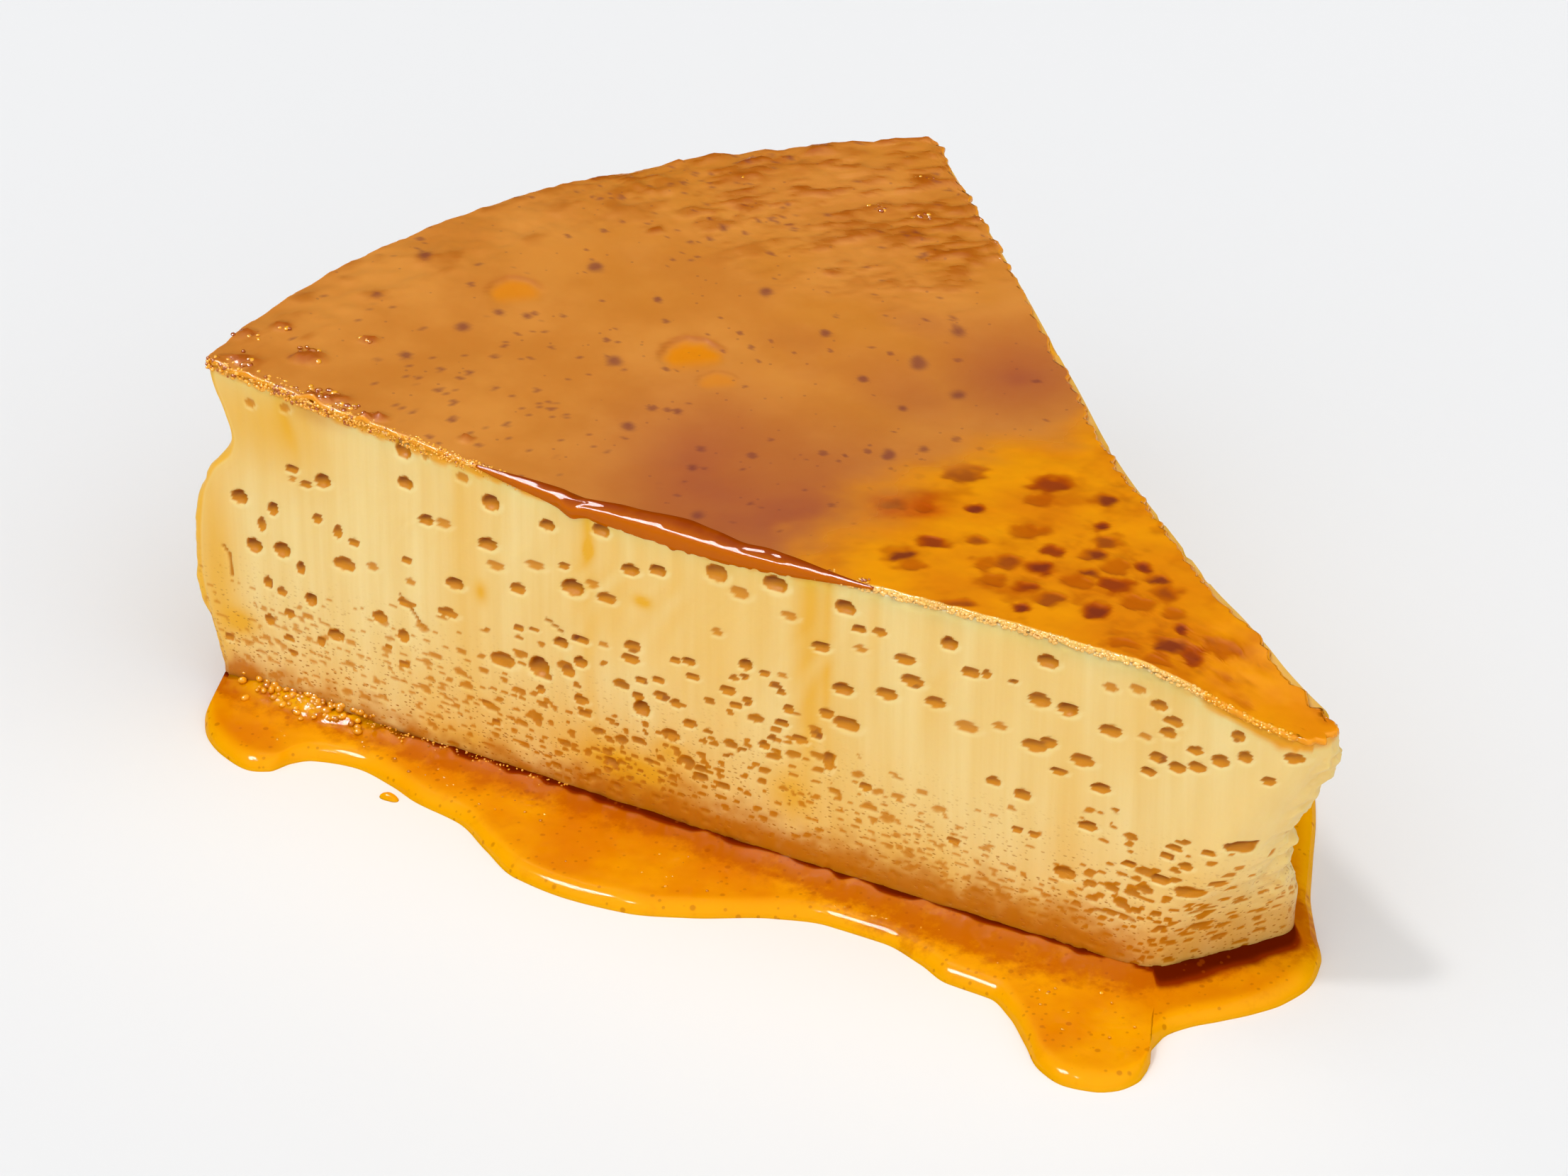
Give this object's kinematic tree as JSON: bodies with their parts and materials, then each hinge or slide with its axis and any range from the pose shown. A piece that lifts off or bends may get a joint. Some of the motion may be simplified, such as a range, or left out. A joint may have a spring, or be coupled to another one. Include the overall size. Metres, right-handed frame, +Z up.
{
  "type": "creme caramel flan slice",
  "caption": "Wedge of set egg custard with a glossy caramel layer on top, lying in its own pool of caramel sauce.",
  "frame": {"origin": "middle of the whole thing's footprint, on the surface it lies on", "axes": "+X along the near cut towards the tip, +Y away from the near cut, +Z up"},
  "size_m": [0.1162, 0.1004, 0.0355],
  "materials": {
    "custard": "satin, moist, porous",
    "caramel_top": "satin gloss, wet",
    "caramel_sauce": "gloss, wet, syrupy"
  },
  "bodies": {
    "root": {"custard": "custard", "caramel_top": "caramel_top", "caramel_pool": "caramel_sauce"}
  },
  "joints": []
}
